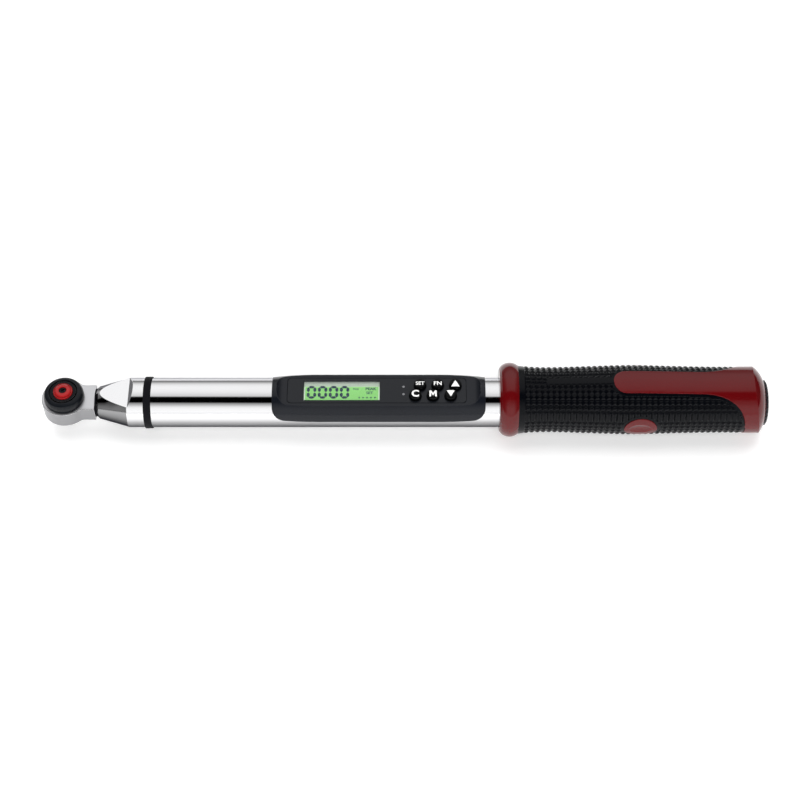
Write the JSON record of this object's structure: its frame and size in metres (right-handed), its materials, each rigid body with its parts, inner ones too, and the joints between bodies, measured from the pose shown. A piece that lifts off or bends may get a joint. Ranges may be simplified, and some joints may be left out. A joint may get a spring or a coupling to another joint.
{
  "type": "torque wrench",
  "caption": "Electronic torque wrench: round ratchet head, chromed tube with a display housing and keys, ribbed grip.",
  "frame": {"origin": "where the drive's axis crosses the tube's axis, in the middle of the ratchet head's thickness", "axes": "+X from the head to the grip along the tube, +Z towards the display and the direction dial, -Z along the square drive"},
  "size_m": [0.3714, 0.0382, 0.0379],
  "materials": {
    "satin_chrome": "satin",
    "bright_chrome": "polished",
    "tool_steel": "ground",
    "black_oxide": "black oxide",
    "spring_steel": "bright",
    "dial_black": "satin moulded",
    "button_red": "gloss moulded",
    "housing_black": "fine grain",
    "panel_black": "smooth film",
    "lens_clear": "clear",
    "lcd_green": "lit display",
    "light_guide": "milky",
    "board_green": "solder mask",
    "part_black": "moulded",
    "part_white": "moulded",
    "light_pipe": "frosted",
    "key_rubber": "smooth",
    "ring_rubber": "smooth",
    "grip_rubber": "ribbed",
    "grip_red": "satin moulded",
    "cap_black": "moulded",
    "cell_wrap": "printed film",
    "brass": "bright",
    "gauge_foil": "foil",
    "wire_red": "smooth"
  },
  "bodies": {
    "root": {"ratchet_head": "satin_chrome", "torque_tube": "bright_chrome", "pawl_pin": "tool_steel", "pivot_pin": "tool_steel", "beam_dowel": "tool_steel", "beam_pin": "tool_steel", "strain_beam": "tool_steel", "head_cover": "black_oxide", "cover_screws": "black_oxide", "dial_snap_ring": "black_oxide", "housing_screws": "black_oxide", "display_housing": "housing_black", "display_panel": "panel_black", "display_lens": "lens_clear", "lcd_module": "lcd_green", "backlight": "light_guide", "main_board": "board_green", "processor": "part_black", "buzzer": "part_black", "key_switches": "part_black", "board_sockets": "part_white", "battery_liner": "part_white", "status_lamps": "part_white", "status_lights": "light_pipe", "keypad_sheet": "key_rubber", "nose_ring": "ring_rubber", "nose_seal": "ring_rubber", "grip_cover": "grip_rubber", "grip_core": "grip_red", "batteries": "cell_wrap", "front_contact": "brass", "strain_gauges": "gauge_foil", "battery_cable": "wire_red", "gauge_cable": "wire_red"},
    "gear": {"drive_gear": "tool_steel", "release_spring": "spring_steel"},
    "button": {"release_button": "button_red", "release_pin": "black_oxide"},
    "ball": {"socket_ball": "tool_steel"},
    "dial": {"direction_dial": "dial_black", "shift_pin": "tool_steel", "detent_ball": "tool_steel", "detent_spring": "spring_steel"},
    "pawl": {"pawl": "tool_steel"},
    "cap_carrier": {"cap_contact": "brass"},
    "cap": {"battery_cap": "cap_black", "cap_seal": "ring_rubber"},
    "key_clear": {"key_clear": "key_rubber"},
    "key_memory": {"key_memory": "key_rubber"},
    "key_down": {"key_down": "key_rubber"},
    "key_units": {"key_units": "key_rubber"},
    "key_function": {"key_function": "key_rubber"},
    "key_up": {"key_up": "key_rubber"}
  },
  "joints": [
    {"name": "gear_turn", "type": "hinge", "parent": "root", "child": "gear", "pos_m": [0, 0, 0], "axis": [0, 0, 1], "continuous": true},
    {"name": "button_press", "type": "slide", "parent": "gear", "child": "button", "axis": [0, 0, -1], "range_m": [0, 0.0015], "stiffness_N_per_m": 900, "springref_m": -0.002, "deforming": ["release_spring"]},
    {"name": "ball_retract", "type": "slide", "parent": "gear", "child": "ball", "axis": [-1, 0, 0], "range_m": [0, 0.0006]},
    {"name": "dial_turn", "type": "hinge", "parent": "root", "child": "dial", "pos_m": [0, 0, 0], "axis": [0, 0, 1], "range_deg": [-44, 0]},
    {"name": "pawl_rock", "type": "hinge", "parent": "root", "child": "pawl", "pos_m": [0.0086, 0, 0], "axis": [0, 0, 1], "range_deg": [-11, 0]},
    {"name": "cap_travel", "type": "slide", "parent": "root", "child": "cap_carrier", "axis": [1, 0, 0], "range_m": [0, 0.006]},
    {"name": "cap_turn", "type": "hinge", "parent": "cap_carrier", "child": "cap", "pos_m": [0.355, 0, 0], "axis": [1, 0, 0], "range_deg": [0, 1440]},
    {"name": "key_clear_press", "type": "slide", "parent": "root", "child": "key_clear", "axis": [0, 0, -1], "range_m": [0, 0.00055], "stiffness_N_per_m": 1200, "springref_m": -0.0004},
    {"name": "key_memory_press", "type": "slide", "parent": "root", "child": "key_memory", "axis": [0, 0, -1], "range_m": [0, 0.00055], "stiffness_N_per_m": 1200, "springref_m": -0.0004},
    {"name": "key_down_press", "type": "slide", "parent": "root", "child": "key_down", "axis": [0, 0, -1], "range_m": [0, 0.00055], "stiffness_N_per_m": 1200, "springref_m": -0.0004},
    {"name": "key_units_press", "type": "slide", "parent": "root", "child": "key_units", "axis": [0, 0, -1], "range_m": [0, 0.00055], "stiffness_N_per_m": 1200, "springref_m": -0.0004},
    {"name": "key_function_press", "type": "slide", "parent": "root", "child": "key_function", "axis": [0, 0, -1], "range_m": [0, 0.00055], "stiffness_N_per_m": 1200, "springref_m": -0.0004},
    {"name": "key_up_press", "type": "slide", "parent": "root", "child": "key_up", "axis": [0, 0, -1], "range_m": [0, 0.00055], "stiffness_N_per_m": 1200, "springref_m": -0.0004}
  ],
  "couplings": [
    {"joint": "ball_retract", "follows": "button_press", "ratio": 0.4},
    {"joint": "pawl_rock", "follows": "dial_turn", "ratio": 0.25},
    {"joint": "cap_travel", "follows": "cap_turn", "m_per_rad": 0.0002387}
  ]
}
